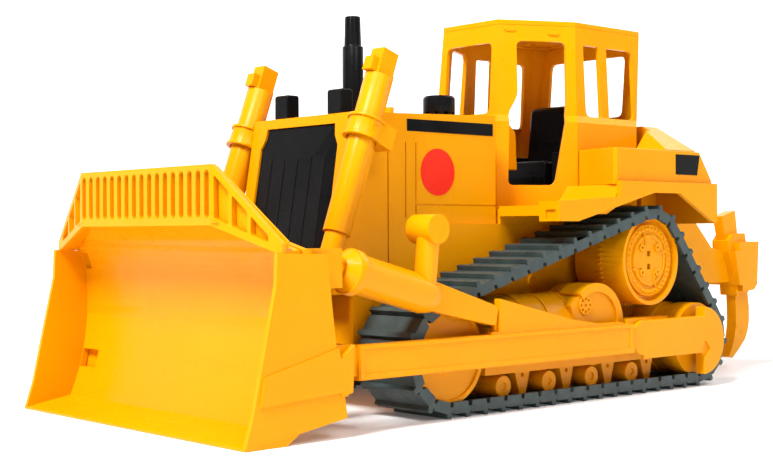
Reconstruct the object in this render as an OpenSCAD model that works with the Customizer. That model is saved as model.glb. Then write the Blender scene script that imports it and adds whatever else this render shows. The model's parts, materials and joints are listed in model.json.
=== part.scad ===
// Toy crawler bulldozer: a blade on two push arms in front, a ripper behind, rubber tracks
// round three wheels a side, and an open operator's cab.
// +X points forward to the blade, +Y to the left side, +Z up; the ground is z = 0.

/* [Blade] */
// Width over the blade's side plates
blade_w = 195; // [185:1:240]
// Height of the blade at its side plates
blade_h = 82; // [70:1:98]
// Height of the slotted guard above the blade's middle
guard_h = 26; // [20:1:36]
// Number of upright slots in the guard
slot_count = 17; // [7:1:19]
// Thickness of the blade's walls
blade_wall = 3; // [2:0.25:4]
// Radius of the blade's hollow face
face_r = 120; // [100:5:150]
// How far the blade swings up
lift_angle = 11; // [4:1:11]

/* [Tracks] */
// Distance from the centre line to a track's outer edge
track_out = 84.5; // [80:0.5:85]
// Width of a track
track_w = 38.5; // [30:0.5:39]
// Thickness of the rubber band
band_t = 2.5; // [2:0.25:3.5]
// Height of the grouser bars
bar_h = 3; // [2:0.25:4]
// Number of links in a track
link_count = 47; // [36:1:54]
// Radius of the front idler
front_r = 24.5; // [20:0.5:26]
// Radius of the rear idler
rear_r = 21.7; // [18:0.5:24]
// Radius of the drive drum
drum_r = 25.8; // [21:0.5:28]
// Distance from the front idler's axle to the rear idler's
wheelbase = 204.5; // [196:0.5:215]
// Height of the drive drum's axle
drum_z = 74.2; // [70:0.5:76]
// Radius of the wheel axles
axle_r = 3; // [2.5:0.25:4]

/* [Body] */
// Width of the hood
hood_w = 80.7; // [72:0.5:84]
// Height of the hood's top at the front
hood_h = 150.5; // [138:0.5:156]
// Thickness of the body shells
wall = 2.4; // [1.6:0.1:3]
// Width over the fenders
fender_w = 170; // [166:1:174]
// Height of the cab's roof
roof_h = 211.5; // [190:0.5:235]
// Width of the cab's upper half
cab_w = 88; // [80:1:92]
// Height of the exhaust stack's mouth
stack_h = 206; // [180:1:226]

/* [Ripper] */
// Width of the ripper's beam
beam_w = 102; // [84:1:120]
// Number of ripper shanks
shank_count = 3; // [1:1:3]
// Thickness of a shank
shank_t = 7; // [4:0.5:9]

/* [Fits] */
// Radial clearance of a shaft that turns in its bore
run_fit = 0.05; // [0.02:0.01:0.09]
// Gap between bodies that pass each other
gap = 0.4; // [0.35:0.05:0.6]

/* [Hidden] */
$fn = 48;

yellow = "#ffb800";
black = "#141414";
rubber = "#3c4846";
steel = "#b8bcc0";
red = "#d8281c";

// An outline with its corners rounded, by one radius or by a list with one for each corner.
corner_steps = 4;
function unit(v) = v / norm(v);
function rounded(p, radius) = [for (i = [0 : len(p) - 1])
    let (r = is_list(radius) ? radius[i] : radius,
        a = p[i] + r * unit(p[(i + len(p) - 1) % len(p)] - p[i]),
        b = p[i] + r * unit(p[(i + 1) % len(p)] - p[i]))
    for (k = [0 : corner_steps]) let (t = k / corner_steps)
        (1 - t) * (1 - t) * a + 2 * t * (1 - t) * p[i] + t * t * b];

// Tracks: wheel centres as [x, z, radius] and the belt round them.
belt_t = band_t + bar_h;
front_x = 92.8;
rear_x = front_x - wheelbase;
drum_x = -68.2;
front_wheel = [front_x, belt_t + front_r, front_r];
drum_wheel = [drum_x, drum_z, drum_r];
rear_wheel = [rear_x, belt_t + rear_r, rear_r];
track_in = track_out - track_w;
track_mid = (track_out + track_in) / 2;
guide_w = 2.2;
guide_h = 2.4;
wheel_in = track_in + 1.5;
wheel_out = track_out - guide_w - gap;
groove_w = 4.5;
groove_d = 1.3;

function run_angle(a, b) = atan2(b[1] - a[1], b[0] - a[0]);
function run_dist(a, b) = norm([b[0] - a[0], b[1] - a[1]]);
function tangent_angle(a, b) = run_angle(a, b) - acos((a[2] - b[2]) / run_dist(a, b));
function wind(angle, low) = angle < low ? wind(angle + 360, low) : angle;
angle_fd = wind(tangent_angle(front_wheel, drum_wheel), 0);
angle_dr = wind(tangent_angle(drum_wheel, rear_wheel), angle_fd);
angle_rf = wind(tangent_angle(rear_wheel, front_wheel), angle_dr);
function run_len(a, b) = sqrt(pow(run_dist(a, b), 2) - pow(a[2] - b[2], 2));
function arc_len(w, a0, a1) = (w[2] + band_t) * (a1 - a0) * PI / 180;
belt_len = [run_len(front_wheel, drum_wheel), arc_len(drum_wheel, angle_fd, angle_dr),
    run_len(drum_wheel, rear_wheel), arc_len(rear_wheel, angle_dr, angle_rf),
    run_len(rear_wheel, front_wheel), arc_len(front_wheel, angle_rf, angle_fd + 360)];
belt_end = [for (i = 0, s = belt_len[0]; i < 6; i = i + 1, s = s + (i < 6 ? belt_len[i] : 0)) s];
belt_total = belt_end[5];
pitch = belt_total / link_count;
function on_wheel(w, angle, off) = [w[0] + (w[2] + off) * cos(angle), w[1] + (w[2] + off) * sin(angle)];
function mix(a, b, t) = a + (b - a) * t;
function on_run(a, b, angle, off, t) = mix(on_wheel(a, angle, off), on_wheel(b, angle, off), t);
function on_arc(w, angle, s, off) = on_wheel(w, angle + s / (w[2] + band_t) * 180 / PI, off);
// A point of the belt, a distance s along it and off above the wheels' surface.
function belt_point(s, off) =
    s >= belt_total ? belt_point(s - belt_total, off) :
    s < belt_end[0] ? on_run(front_wheel, drum_wheel, angle_fd, off, s / belt_len[0]) :
    s < belt_end[1] ? on_arc(drum_wheel, angle_fd, s - belt_end[0], off) :
    s < belt_end[2] ? on_run(drum_wheel, rear_wheel, angle_dr, off, (s - belt_end[1]) / belt_len[2]) :
    s < belt_end[3] ? on_arc(rear_wheel, angle_dr, s - belt_end[2], off) :
    s < belt_end[4] ? on_run(rear_wheel, front_wheel, angle_rf, off, (s - belt_end[3]) / belt_len[4]) :
    on_arc(front_wheel, angle_rf, s - belt_end[4], off);
arc_step = 7.5;
function wheel_arc(w, a0, a1, off) =
    let (n = ceil((a1 - a0) / arc_step)) [for (i = [0 : n]) on_wheel(w, mix(a0, a1, i / n), off)];
function belt_loop(off) = concat(wheel_arc(drum_wheel, angle_fd, angle_dr, off),
    wheel_arc(rear_wheel, angle_dr, angle_rf, off), wheel_arc(front_wheel, angle_rf, angle_fd + 360, off));
shoe_t = 0.8;
shoe_gap = 0.9;
bar_t = 2.6;
bar_slope = 0.6;
link_shape = [[0, band_t], [0.3, belt_t], [bar_t, belt_t], [bar_t + bar_slope, band_t + shoe_t],
    [pitch - shoe_gap, band_t + shoe_t], [pitch - shoe_gap + 0.2, band_t]];
guide_shape = [[1, 0], [1.4, -guide_h], [pitch - 1.4, -guide_h], [pitch - 1, 0]];
function belt_outline(shape) =
    [for (i = [0 : link_count - 1]) for (p = shape) belt_point(i * pitch + p[0], p[1])];

// Body
half_hood = hood_w / 2;
half_hull = half_hood + 1.6;
hull_low = 18;
hull_top = 95;
sill_top = 60;
hull_front = 120;
hull_rear = -126;
hood_step = 62;
hood_rear = 15.4;
hood_drop = 3.5;
nose_top = 118.5;
nose_low = 133.5;
function hood_z(x) = hood_h + (nose_top - x) * hood_drop / (nose_top - hood_rear);
function nose_x(z) = nose_low - (nose_low - nose_top) * (z - sill_top) / (hood_h - sill_top);
grille_half = 33;
grille_low = 66;
grille_top = hood_h - 5;
platform_top = 103;
belt_top = drum_z + drum_r + belt_t;
deck_top = belt_top + 11;
deck_t = 3;
half_fender = fender_w / 2;
skirt_t = 2.5;
tank_top = deck_top + 20.5;
tank_front = -40;
tank_rear = -116;
tail_x = -128.6;
waist_z = 157;
cab_front = -1;
cab_rear = -110;
half_cab = cab_w / 2;
cab_in = 2.2;
stack_x = 83.4;
stack_r = 5.6;
cleaner_x = 38.6;
cleaner_y = 20;
cleaner_r = 8.75;
cleaner_stub_r = 5;

// Blade lift: arm pivot, cylinder trunnion and cylinder foot as [x, z].
arm_pivot = [-48, 32];
arm_in = track_out + 3;
arm_t = 6;
arm_out = arm_in + arm_t;
arm_low = 24.2;
arm_top = 40;
arm_front = 160.7;
pivot_r = 2.5;
seam_r = 9.6;
lift_y = half_hood + 8.65;
trunnion = [118.3, 141];
lift_tilt = 19.5;
lift_len = 98.6;
lift_foot = [trunnion[0] + lift_len * sin(lift_tilt), trunnion[1] - lift_len * cos(lift_tilt)];
lift_swing = 5.7;
yoke_tilt = lift_tilt + lift_swing / 2;
barrel_r = 6.9;
rod_r = 5.6;
trunnion_r = 2;
foot_pin_r = 2.6;
foot_eye_r = 5.2;
spigot_r = 3.4;
spigot_h = 7;
barrel_end = 54;
barrel_top = -42;
back_half = 5.4;
head_half = 4.6;
head_h = 14;
yoke_h = 11;
yoke_bore_r = barrel_r + 0.75;
yoke_r = yoke_bore_r + 1.1;
half_blade = blade_w / 2;
lip_x = 225.8;
face_mid = [190 + face_r, 54];
lip_start_z = 5.3;
bend_z = 72.2;
bend_r = 27;
bend_end = 83;
bend_angle = asin((bend_z - face_mid[1]) / face_r);
lip_angle = asin((lip_start_z - face_mid[1]) / face_r);
bend_mid = [face_mid[0] - (face_r - bend_r) * cos(bend_angle),
    face_mid[1] + (face_r - bend_r) * sin(bend_angle)];
guard_x = bend_mid[0] - bend_r * cos(bend_end);
guard_low = bend_mid[1] + bend_r * sin(bend_end);
guard_top = guard_low + guard_h;
guard_half = 56.5;
guard_slot = 3.6;
guard_end_rib = 1.1;
wing_back = 9;
plate_in = half_blade - blade_wall;
beam_rear = 167;
beam_low = 18;
beam_high = 41;
brace_y = track_out + 2;
brace_start = [66, 48.2];
brace_slope = 14.65;
brace_r = 9.2;
brace_body = 45.5;
brace_ring = 94.5;
brace_end = 113.5;
brace_pin_r = 3.6;
handle_at = 51.5;
handle_r = 5.5;
knob_r = 7;
knob_z = 92;

// Ripper
ripper_pivot = [-134, 80];
ripper_pin_r = 2.5;
ripper_eye_r = 7.4;
beam_x = -198.5;
beam_t = 7;
beam_low_z = 55;
beam_h = 22.5;
beam_lean = 5.6;
link_y = 38;
link_t = 5;
pocket_w = 12.6;
pocket_lip = 3.5;
shank_pin_r = 1.6;
shank_pin_at = [beam_x - 16, 68];
shank_step = (beam_w - pocket_w) / 2 - pocket_lip;
pin_skin = 1;
shank_pin_reach = pocket_w / 2 - pin_skin;
label_t = 0.25;

module xz(y0, y1, points) {
    translate([0, y1, 0]) rotate([90, 0, 0]) linear_extrude(y1 - y0) polygon(points);
}
module yz(x0, x1, points) {
    translate([x0, 0, 0]) rotate([90, 0, 90]) linear_extrude(x1 - x0) polygon(points);
}
module ycyl(r, y0, y1, at = [0, 0]) {
    translate([at[0], y1, at[1]]) rotate([90, 0, 0]) cylinder(r = r, h = y1 - y0);
}
module block(low, high) {
    translate(low) cube(high - low);
}
module both() {
    children();
    mirror([0, 1, 0]) children();
}
module right_side() {
    mirror([0, 1, 0]) children();
}

// ---- Hull and hood ----
tub_outline = [[hull_rear, 26], [hull_rear + 8, hull_low], [hull_front - 14, hull_low],
    [hull_front, 32], [hull_front, sill_top], [hood_step, sill_top], [hood_step, hull_top],
    [hull_rear, hull_top]];
tub_cavity = [[hull_rear + wall, 27], [hull_rear + 9, hull_low + wall],
    [hull_front - 15, hull_low + wall], [hull_front - wall, 33], [hull_front - wall, sill_top + 1],
    [hood_step - wall, sill_top + 1], [hood_step - wall, hull_top - wall],
    [hull_rear + wall, hull_top - wall]];
boss_r = 7;
screw_at = [[front_x - 14, 26], [0, 26], [rear_x + 16, 26]];
screw_r = 2.6;
ring_at = [-12, 63.1];
ring_r = 3.4;

module tub() {
    color(yellow) difference() {
        union() {
            difference() {
                xz(-half_hull, half_hull, tub_outline);
                xz(wall - half_hull, half_hull - wall, tub_cavity);
            }
            both() for (w = [front_wheel, rear_wheel, drum_wheel])
                ycyl(boss_r, half_hull - wall, wheel_in - gap, w);
            for (s = screw_at) both() translate([s[0], s[1], hull_low + 0.5]) cylinder(r = 5, h = 30);
            both() ycyl(ring_r, half_hull - 0.2, half_hull + 1.4, ring_at);
        }
        both() ycyl(ring_r - 1.2, half_hull + 0.2, half_hull + 2, ring_at);
        for (w = [front_wheel, rear_wheel, drum_wheel])
            ycyl(axle_r + run_fit, -wheel_in, wheel_in, w);
        for (s = screw_at) both() translate([s[0], s[1], hull_low - 1]) cylinder(r = screw_r + 0.1, h = 9);
    }
}

module body_screws() {
    color(steel) for (s = screw_at) both() translate([s[0], s[1], 0]) difference() {
        translate([0, 0, hull_low + 1.2]) cylinder(r = screw_r, h = 6.7);
        for (a = [0, 90]) translate([0, 0, hull_low + 1.2]) rotate(a) cube([3.4, 0.8, 2], center = true);
    }
}

hood_outline = [[nose_low, sill_top], [nose_top, hood_h], [hood_rear, hood_h + hood_drop],
    [hood_rear, hull_top], [hood_step, hull_top], [hood_step, sill_top]];
hood_cavity = [[nose_low - wall - 0.1, sill_top - 1], [nose_top - wall, hood_h - wall],
    [hood_rear + wall, hood_h + hood_drop - wall], [hood_rear + wall, hull_top - 1],
    [hood_step + wall, hull_top - 1], [hood_step + wall, sill_top - 1]];
notch = grille_top - 6;
function grille_outline(c) = let (w = grille_half - c) [[-w, grille_low + c], [w, grille_low + c],
    [w - 1, notch - 5], [w - 4, notch], [w - 5, grille_top - c], [5 - w, grille_top - c],
    [4 - w, notch], [1 - w, notch - 5]];

module hood() {
    cowl_half = 24;
    color(yellow) difference() {
        union() {
            xz(-half_hood, half_hood, hood_outline);
            block([cab_front + 0.3, -cowl_half, platform_top], [hood_rear, cowl_half, hood_h + hood_drop]);
            translate([84.7, 30, hood_z(84.7) - 1]) cylinder(r = 2.6, h = 4.6);
        }
        xz(wall - half_hood, half_hood - wall, hood_cavity);
        block([cab_front - 1, wall - cowl_half, platform_top - 1],
            [hood_rear + wall + 1, cowl_half - wall, hood_h + hood_drop - wall]);
        yz(nose_top - 20, nose_low + 5, grille_outline(0));
        translate([stack_x, 0, hood_h - 10]) cylinder(r = stack_r + 0.1, h = 30);
        translate([cleaner_x, cleaner_y, hood_h - 10]) cylinder(r = cleaner_stub_r + 0.1, h = 30);
        both() block([75, half_hood - 0.7, 98], [75.8, half_hood + 1, 137]);
        both() block([82.2, half_hood - 0.7, 98], [83, half_hood + 1, 137]);
        both() block([94.4, half_hood - 1, 62], [95.2, half_hood + 1, 136]);
        both() block([hood_rear - 1, half_hood - 0.6, 104.5], [75, half_hood + 1, 105.2]);
    }
}

module grille() {
    front = [nose_x(grille_low) - 1, nose_x(grille_top) - 1];
    plate = [[front[0], grille_low], [front[1], grille_top], [front[1] - 2.2, grille_top],
        [front[0] - 2.2, grille_low]];
    slope = atan2(front[0] - front[1], grille_top - grille_low);
    ribs = 5;
    rib_w = 0.9;
    color(black) {
        intersection() {
            xz(-half_hood, half_hood, plate);
            yz(nose_top - 20, nose_low + 5, grille_outline(gap));
        }
        rib_h = notch - grille_low - 14;
        for (i = [0 : ribs - 1]) translate([front[0], (i - (ribs - 1) / 2) * 11, grille_low])
            rotate([0, -slope, 0]) translate([-0.2, -rib_w / 2, 4]) cube([0.5, rib_w, rib_h]);
    }
}

module headlights() {
    color(black) both() xz(16.2, 27.7, [[107, hood_z(107)], [115, hood_z(115)], [115, hood_h + 12.4],
        [114, hood_h + 13], [108, hood_h + 13], [107, hood_h + 12.4]]);
}

module exhaust_stack() {
    neck = stack_h - 16;
    color(black) translate([stack_x, 0, 0]) difference() {
        union() {
            translate([0, 0, hood_h - 14]) cylinder(r = stack_r, h = neck - hood_h + 14);
            translate([0, 0, neck]) cylinder(r1 = 4.6, r2 = 4.15, h = stack_h - neck);
        }
        translate([0, 0, neck + 2]) cylinder(r = 3, h = 20);
    }
}

module pre_cleaner() {
    base = hood_z(cleaner_x - cleaner_r);
    slots = 10;
    color(black) translate([cleaner_x, cleaner_y, 0]) difference() {
        union() {
            translate([0, 0, base]) cylinder(r = cleaner_r, h = 10);
            translate([0, 0, base + 10]) cylinder(r1 = cleaner_r, r2 = cleaner_r - 1.2, h = 1.2);
            translate([0, 0, hood_h - 6]) cylinder(r = cleaner_stub_r, h = base - hood_h + 7);
        }
        for (i = [0 : slots - 1]) rotate(i * 360 / slots)
            translate([cleaner_r - 2, -1.1, base - 1]) cube([4, 2.2, 3.4]);
    }
}

module hood_stripes() {
    color(black) both() xz(half_hood, half_hood + 0.3,
        [[81.6, hood_z(81.6) - 9], [81.6, hood_z(81.6) - 2.8], [17.7, hood_z(17.7) - 4.6],
        [17.7, hood_z(17.7) - 11.2]]);
}

module round_sticker() {
    color(red) ycyl(12.4, half_hood, half_hood + label_t, [59.6, 122]);
}

module tank_patches() {
    side_y = half_fender - 3.8;
    color(black) both() xz(side_y, side_y + label_t, [[-92.6, tank_top - 13.7], [-92.6, tank_top - 2],
        [tank_rear, tank_top - 2], [tank_rear + 2.5, tank_top - 13.7]]);
}

// ---- Lift cylinders ----
module at_trunnion(tilt) {
    translate([trunnion[0], lift_y, trunnion[1]]) rotate([0, 180 - tilt, 0]) children();
}

module lift_yoke() {
    color(yellow) difference() {
        intersection() {
            at_trunnion(yoke_tilt) union() {
                cylinder(r = yoke_r, h = yoke_h, center = true);
                for (side = [-1, 1]) translate([0, 0, side * (yoke_h - 1.3) / 2])
                    cylinder(r = yoke_r + 0.9, h = 1.3, center = true);
                translate([0, half_hood - lift_y - 1, -yoke_h / 2])
                    cube([14, lift_y + yoke_r - half_hood, yoke_h]);
            }
            block([60, half_hood, 100], [180, half_blade, 200]);
        }
        at_trunnion(yoke_tilt) cylinder(r = yoke_bore_r, h = 3 * yoke_h, center = true);
        ycyl(trunnion_r + run_fit, half_hood - 1, half_blade, trunnion);
    }
}
module lift_yoke_left() { lift_yoke(); }
module lift_yoke_right() { right_side() lift_yoke(); }

module barrel_back(t0, t1) {
    translate([0, -back_half, t0]) cube([back_half, 2 * back_half, t1 - t0]);
}

module lift_barrel() {
    clear = yoke_h / 2 + 3.4;
    neck = barrel_top + head_h;
    color(yellow) at_trunnion(lift_tilt) difference() {
        union() {
            translate([0, 0, neck - 0.5]) cylinder(r = barrel_r, h = barrel_end - neck + 0.5);
            barrel_back(neck - 2, -clear);
            barrel_back(clear, barrel_end - 1.5);
            translate([-head_half, -head_half, barrel_top])
                cube([head_half + back_half, 2 * head_half, head_h]);
            translate([-head_half - 4, -3.2, barrel_top + 6]) cube([5, 6.4, 7]);
            rotate([90, 0, 0]) cylinder(r = trunnion_r, h = 2 * yoke_r - 0.6, center = true);
        }
        translate([0, 0, neck]) cylinder(r = rod_r + 0.08, h = barrel_end - barrel_top);
        translate([0, 0, barrel_top + 5]) cylinder(r = spigot_r + 0.08, h = head_h);
    }
}
module lift_barrel_left() { lift_barrel(); }
module lift_barrel_right() { right_side() lift_barrel(); }

module lift_rod() {
    top = 4;
    eye_half = 4;
    neck = 3;
    color(yellow) at_trunnion(lift_tilt) difference() {
        union() {
            translate([0, 0, top]) cylinder(r = spigot_r, h = spigot_h + 1);
            translate([0, 0, top + spigot_h])
                cylinder(r = rod_r, h = lift_len - foot_eye_r - neck - top - spigot_h);
            translate([0, 0, lift_len]) rotate([90, 0, 0])
                cylinder(r = foot_eye_r, h = 2 * eye_half, center = true);
            translate([-3, -eye_half, lift_len - foot_eye_r - neck - 1]) cube([6, 2 * eye_half, neck + 4]);
        }
        translate([0, 0, lift_len]) rotate([90, 0, 0])
            cylinder(r = foot_pin_r + 0.6, h = 20, center = true);
    }
}
module lift_rod_left() { lift_rod(); }
module lift_rod_right() { right_side() lift_rod(); }

// ---- Fenders, tanks and cab ----
module rear_body() {
    skirt = [[14.5, 96], [14.5, 106.6], [-31, 109.3], [tank_front + 3, 109.6],
        [tank_front + 3, deck_top + 2], [tail_x, deck_top + 2], [tail_x, 95.8],
        [-124.5, 95.8], [-91.8, deck_top - 4.3], [drum_x, deck_top - 4.2], [-1.3, 96]];
    deck = [[14.5, platform_top], [-26, platform_top], [-35, 109], [tank_front + 1, deck_top],
        [tail_x, deck_top], [tail_x, deck_top - deck_t], [tank_front - 2, deck_top - deck_t],
        [-36.5, 104], [-28, platform_top - deck_t], [14.5, platform_top - deck_t]];
    tail = [[tail_x, hull_top], [tail_x, deck_top], [tail_x + wall, deck_top], [tail_x + wall, hull_top]];
    color(yellow) difference() {
        union() {
            both() xz(half_fender - skirt_t, half_fender, skirt);
            both() xz(half_hull, half_fender - skirt_t, deck);
            both() xz(half_hull - wall, half_hull, [[13.5, hull_top], [13.5, platform_top],
                [tail_x, platform_top], [tail_x, hull_top]]);
            block([tail_x, -half_hull, hull_top], [13.5, half_hull, platform_top]);
            block([tail_x, -half_hull, platform_top], [cab_rear - 2, half_hull, deck_top]);
            xz(-half_fender, half_fender, tail);
            both() block([11.5, 71, 96], [14.5, half_fender, 106.6]);
            both() block([11.5, half_hull, platform_top - 4], [14.5, half_fender, platform_top + 1.5]);
        }
        block([tail_x + wall, wall - half_hull, hull_top - 1],
            [13.5 - wall, half_hull - wall, platform_top - wall]);
        block([tail_x + wall, wall - half_hull, platform_top - wall - 0.1],
            [cab_rear - 2 - wall, half_hull - wall, deck_top - wall]);
        both() block([13.3, 75.5, 97.5], [15, 82.5, 102.2]);
        translate([0, 0, platform_top]) linear_extrude(30) polygon(full_plan(cab_low_plan));
    }
}

module side_tank() {
    front_in = [tank_front - 5, 48.8];
    profile = [[tank_front, deck_top], [tank_front, tank_top], [tank_rear, tank_top],
        [tail_x, deck_top + 3.5], [tail_x, deck_top]];
    plan = [[front_in[0], front_in[1]], [tank_front + 3, half_fender - 5],
        [tank_front + 1, half_fender - 3.8],
        [tail_x, half_fender - 3.8], [tail_x, half_hull + 2.6], [cab_rear, half_hull + 2.6],
        [-99, 48.8]];
    color(yellow) difference() {
        intersection() {
            translate([0, 0, deck_top]) linear_extrude(30) polygon(plan);
            xz(0, half_blade, [[tank_front + 4, deck_top], [tank_front + 4, tank_top], [tank_rear, tank_top],
                [tail_x, deck_top + 3.5], [tail_x, deck_top]]);
        }
        translate([0, 0, deck_top - 1]) linear_extrude(tank_top - deck_top - 1.5)
            polygon([[front_in[0] - 3, front_in[1] + wall], [tank_front - 1, half_fender - 7.5],
                [tank_rear - 1, half_fender - 7.5], [tank_rear - 1, half_hull + 2.6 + wall],
                [cab_rear, half_hull + 2.6 + wall], [-99, 48.8 + wall]]);
    }
}
module side_tank_left() { side_tank(); }
module side_tank_right() { right_side() side_tank(); }

module rear_cover() {
    ridge = tank_top + 17.5;
    tip = 0.8;
    rim_y = half_fender - 7;
    color(yellow) {
        difference() {
            block([tail_x + 1, -half_hull, deck_top], [cab_rear - 2.5, half_hull, ridge]);
            block([tail_x + 1 + wall, wall - half_hull, deck_top - 1],
                [cab_rear - 2.5 - wall, half_hull - wall, ridge - wall]);
        }
        both() intersection() {
            hull_points([[cab_rear - 2.5, half_hull, ridge], [tail_x + 1, half_hull, ridge],
                [tank_rear, rim_y, tank_top + tip], [-88, rim_y, tank_top + tip],
                [tank_rear, rim_y, tank_top], [-88, rim_y, tank_top], [-97, half_hull, tank_top],
                [cab_rear - 2.5, half_hull, tank_top], [tank_rear, half_hull, tank_top],
                [tail_x + 1, half_hull, tank_top + 4]]);
            union() {
                block([-140, half_hull, tank_top], [cab_rear - 2.5, 100, 200]);
                block([-140, 49.2, tank_top], [-80, 100, 200]);
            }
        }
    }
}
module hull_points(points) {
    hull() for (p = points) translate(p) cube(0.02, center = true);
}

cab_top_plan = [[-6.4, half_cab / 2], [-48.4, half_cab - 0.5], [-108, half_cab - 0.5], [-115, half_cab - 6]];
cab_waist_plan = [[-3, half_cab / 2 + 2.5], [-46, half_cab + 2.3], [-102, half_cab + 2.3],
    [cab_rear, half_cab - 4]];
cab_low_plan = [[cab_front, half_cab / 2 + 3.5], [-44.5, half_cab + 4.3], [-99, half_cab + 4.3],
    [cab_rear, half_cab - 4]];
function full_plan(p) = concat(p, [for (i = [len(p) - 1 : -1 : 0]) [p[i][0], -p[i][1]]]);
function inset(p, c) =
    [for (i = [0 : 3]) [p[i][0] + (i < 2 ? -c : c) * (i == 1 || i == 2 ? 0.5 : 1), p[i][1] - c]];
module loft(low, high, z0, z1) {
    hull() {
        translate([0, 0, z0]) linear_extrude(0.01) polygon(full_plan(low));
        translate([0, 0, z1 - 0.01]) linear_extrude(0.01) polygon(full_plan(high));
    }
}

module on_door_face() {
    translate([cab_front, half_cab / 2 + 3.5, 0]) rotate([0, 0, atan2(half_cab / 2 + 0.8, -43.5) - 180])
        mirror([1, 0, 0]) children();
}

module cab_shell() {
    shell_top = roof_h - 3;
    window_top = roof_h - 12;
    window_low = waist_z + 1;
    window_end = window_top - 1;
    door = rounded([[7, 117], [8, 158], [14, 168], [14, window_top], [44, window_top], [43.5, 160],
        [35.5, 117]], [3, 3, 4, 4, 4, 8, 4]);
    color(yellow) difference() {
        union() {
            loft(cab_low_plan, cab_low_plan, platform_top, waist_z - 4);
            loft(cab_low_plan, cab_waist_plan, waist_z - 4, waist_z);
            loft(cab_waist_plan, cab_top_plan, waist_z, shell_top);
        }
        loft(inset(cab_low_plan, cab_in), inset(cab_low_plan, cab_in), platform_top - 1, waist_z - 4);
        loft(inset(cab_low_plan, cab_in), inset(cab_waist_plan, cab_in), waist_z - 4.01, waist_z);
        loft(inset(cab_waist_plan, cab_in), inset(cab_top_plan, cab_in), waist_z - 0.01, shell_top + 1);
        yz(-20, 8, rounded([[-18, window_low], [18, window_low], [18, window_end], [-18, window_end]], 4));
        yz(-125, -100, rounded([[-30, window_low + 3], [30, window_low + 3], [30, window_end],
            [-30, window_end]], 4));
        xz(-60, 60, rounded([[-54.7, window_low - 1], [-68.5, window_low - 1], [-68.5, window_end],
            [-54.7, window_end]], [4, 1, 1, 2]));
        xz(-60, 60, rounded([[-75.8, window_low - 1], [-99.7, window_low - 1], [-99.7, window_end],
            [-75.8, window_end]], [1, 4, 4, 1]));
        both() block([-130, track_in - gap, 0], [20, 60, belt_top + 1]);
        both() on_door_face() rotate([90, 0, 0]) translate([0, 0, -14]) linear_extrude(28) polygon(door);
    }
}

module cab_roof() {
    z = roof_h - 3;
    color(yellow) difference() {
        loft(cab_top_plan, cab_top_plan, z, roof_h);
        loft(inset(cab_top_plan, 5), inset(cab_top_plan, 5), z - 1, z + 1.2);
    }
}

module cab_floor() {
    rise = 10;
    color(black) {
        translate([0, 0, platform_top]) linear_extrude(3)
            polygon(full_plan(inset(cab_low_plan, cab_in + 0.4)));
        block([-95, -20, platform_top + 3], [-52, 20, platform_top + rise]);
        block([-20, -16, platform_top + 3], [-8, 16, platform_top + 38]);
        both() block([-88, 24, platform_top + 3], [-50, 31, platform_top + 34]);
    }
}

module seat() {
    base = platform_top + 10;
    color(black) {
        xz(-18, 18, [[-52, base], [-50, base + 10], [-52, base + 20], [-74, base + 18], [-78, base + 53],
            [-82, base + 55], [-91, base + 52], [-88, base + 10], [-84, base]]);
    }
}

// ---- Track frames ----
roller_r = 5.6;
roller_x = 50;
roller_step = 35;
roller_count = 4;
roller_out = track_out - 6.5;
roller_z = belt_t + roller_r + 0.6;
rail_low = roller_z + roller_r + 0.9;
housing = [-31, 39];
housing_r = 22.6;

module track_frame() {
    rail_in = track_in + 4;
    rail_out = track_out - 3;
    leg = [[-6, rail_low + 1], [-2.4, belt_t + 0.6], [2.4, belt_t + 0.6], [6, rail_low + 1]];
    color(yellow) difference() {
        union() {
            block([-84, rail_in, rail_low], [64, rail_out - 3, rail_low + 9]);
            block([-84, rail_out - 6, rail_low + 5], [64, rail_out, arm_top + 2]);
            translate([-30, track_mid - 2, 39.5]) rotate([0, 90, 0]) cylinder(r = 18, h = 88);
            for (x = [-2, 16, 34]) translate([x, track_mid - 2, 39.5]) rotate([0, 90, 0])
                cylinder(r = 18.7, h = 2);
            ycyl(housing_r, rail_in, roller_out - 6, housing);
            block([-20, half_hull, 24], [40, rail_in + 2, 44]);
            block([-84, rail_out - 1, 24], [arm_pivot[0] - 8, arm_in - 1.9, arm_top - 1]);
            for (i = [0 : roller_count - 1])
                translate([roller_x - roller_step * (i + 0.5), 0, 0]) xz(track_mid - 10, roller_out - 3, leg);
        }
        ycyl(housing_r - 5, roller_out - 8, roller_out, housing);
        ycyl(pivot_r, rail_out - 8, arm_in, arm_pivot);
        for (i = [0 : roller_count - 1])
            ycyl(1.2, roller_out - 6, roller_out, [roller_x - roller_step * (i + 0.5), rail_low - 2]);
    }
}
module track_frame_left() { track_frame(); }
module track_frame_right() { right_side() track_frame(); }

module rollers() {
    color(yellow) for (i = [0 : roller_count - 1]) {
        at = [roller_x - roller_step * i, roller_z];
        difference() {
            union() {
                ycyl(roller_r, track_in + 5, roller_out, at);
                block([at[0] - 2.5, track_mid - 8, at[1]], [at[0] + 2.5, track_mid + 8, rail_low]);
            }
            ycyl(2, roller_out - 1, roller_out + 1, at);
        }
    }
}
module rollers_left() { rollers(); }
module rollers_right() { right_side() rollers(); }

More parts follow.
